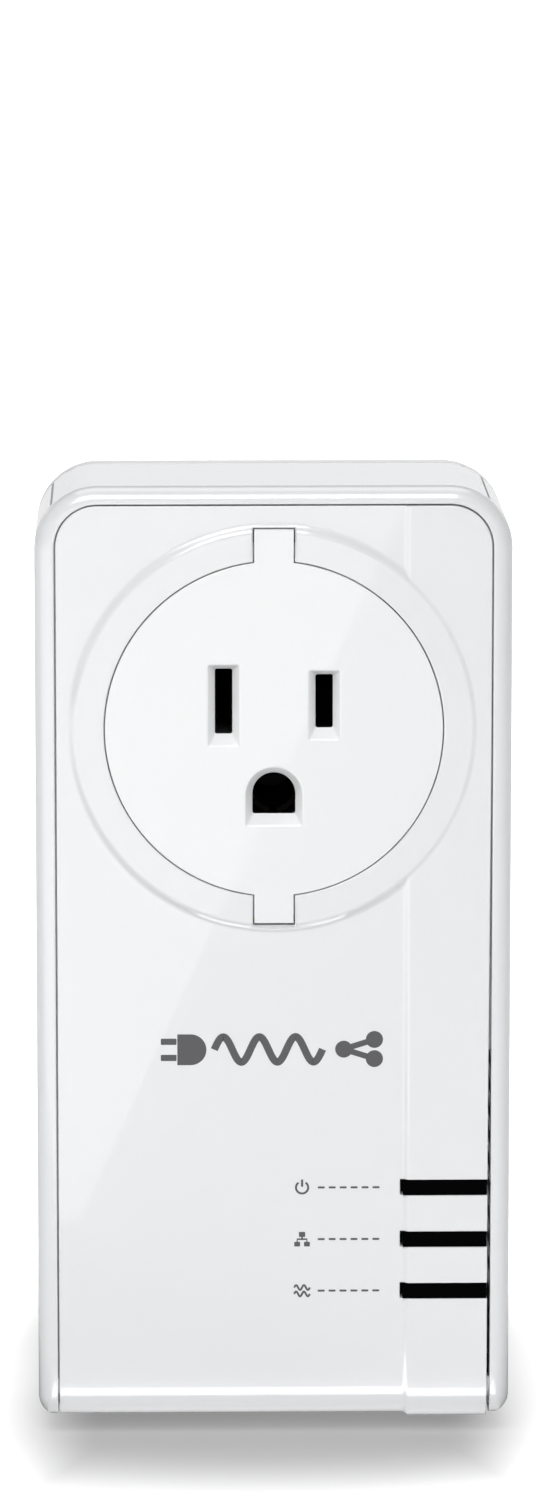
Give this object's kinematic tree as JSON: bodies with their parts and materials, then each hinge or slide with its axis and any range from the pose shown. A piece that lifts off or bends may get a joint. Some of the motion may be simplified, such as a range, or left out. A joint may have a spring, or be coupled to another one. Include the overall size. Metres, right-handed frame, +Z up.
{
  "type": "powerline adapter",
  "caption": "Plug-in powerline network adapter with a pass-through grounded outlet in front, status windows, and a network jack, pair button and reset pinhole underneath.",
  "frame": {"origin": "on the flat face that meets the wall, midway between the two plug blades", "axes": "+Z up, +Y into the wall, +X to the right seen from the front"},
  "size_m": [0.0604, 0.0497, 0.121],
  "materials": {
    "gloss_white": "glossy white moulding, lightly polished",
    "satin_white": "fine satin texture",
    "outlet_white": "semi-gloss white",
    "plug_white": "satin white",
    "label_white": "plain blank label",
    "screw_steel": "zinc plated",
    "blade_nickel": "nickel plated brass, lightly brushed",
    "carrier_grey": "heat resistant moulding",
    "contact_brass": "stamped strip",
    "contact_gold": "gold flashed",
    "clear_guide": "clear moulding",
    "print_grey": "printed marks on the front panel",
    "window_smoke": "black smoked, polished",
    "led_lens": "clear epoxy",
    "shield_steel": "bright tin plate",
    "jack_black": "black moulding",
    "switch_black": "black moulding",
    "plunger_black": "black moulding",
    "board_green": "solder mask",
    "sheet_clear": "thin insulating film",
    "fuse_black": "moulded can",
    "disc_blue": "epoxy dip",
    "film_yellow": "moulded box",
    "ferrite_grey": "sintered ferrite",
    "chip_black": "moulded package",
    "can_sleeve": "sleeved can",
    "tape_amber": "polyester tape",
    "sink_aluminium": "extruded"
  },
  "bodies": {
    "adapter": {"housing_shell": "gloss_white", "front_panel": "gloss_white", "rear_cover": "satin_white", "rating_label": "label_white", "case_screws": "screw_steel", "board_screws": "screw_steel", "carrier_screws": "screw_steel", "plug_base": "plug_white", "neutral_blade": "blade_nickel", "line_blade": "blade_nickel", "ground_pin": "blade_nickel", "outlet_insert": "outlet_white", "contact_carrier": "carrier_grey", "neutral_contact": "contact_brass", "line_contact": "contact_brass", "ground_contact": "contact_brass", "neutral_strap": "contact_brass", "line_strap": "contact_brass", "ground_strap": "contact_brass", "light_guide": "clear_guide", "jack_shield": "shield_steel", "jack_body": "jack_black", "jack_contacts": "contact_gold", "pair_switch": "switch_black", "reset_switch": "switch_black", "main_board": "board_green", "insulation_sheet": "sheet_clear", "fuse": "fuse_black", "varistor": "disc_blue", "safety_capacitor": "film_yellow", "common_mode_choke": "ferrite_grey", "bridge_rectifier": "chip_black", "bulk_capacitor_left": "can_sleeve", "bulk_capacitor_right": "can_sleeve", "transformer_core": "ferrite_grey", "transformer_bobbin": "tape_amber", "output_capacitor": "can_sleeve", "output_inductor": "ferrite_grey", "coupling_transformer": "ferrite_grey", "powerline_chip": "chip_black", "heat_sink": "sink_aluminium", "memory_chip": "chip_black", "clock_crystal": "shield_steel", "lan_transformer": "chip_black", "power_controller": "chip_black", "y_capacitor": "disc_blue", "power_window": "window_smoke", "power_led": "led_lens", "ethernet_window": "window_smoke", "ethernet_led": "led_lens", "powerline_window": "window_smoke", "powerline_led": "led_lens"},
    "pair_key": {"pair_button": "gloss_white", "pair_plunger": "plunger_black"},
    "reset_key": {"reset_plunger": "plunger_black"}
  },
  "joints": [
    {"name": "pair_press", "type": "slide", "parent": "adapter", "child": "pair_key", "axis": [0, 0, 1], "range_m": [0, 0.0005], "stiffness_N_per_m": 2500, "springref_m": -0.0003},
    {"name": "reset_press", "type": "slide", "parent": "adapter", "child": "reset_key", "axis": [0, 0, 1], "range_m": [0, 0.0003], "stiffness_N_per_m": 3500, "springref_m": -0.0002}
  ]
}
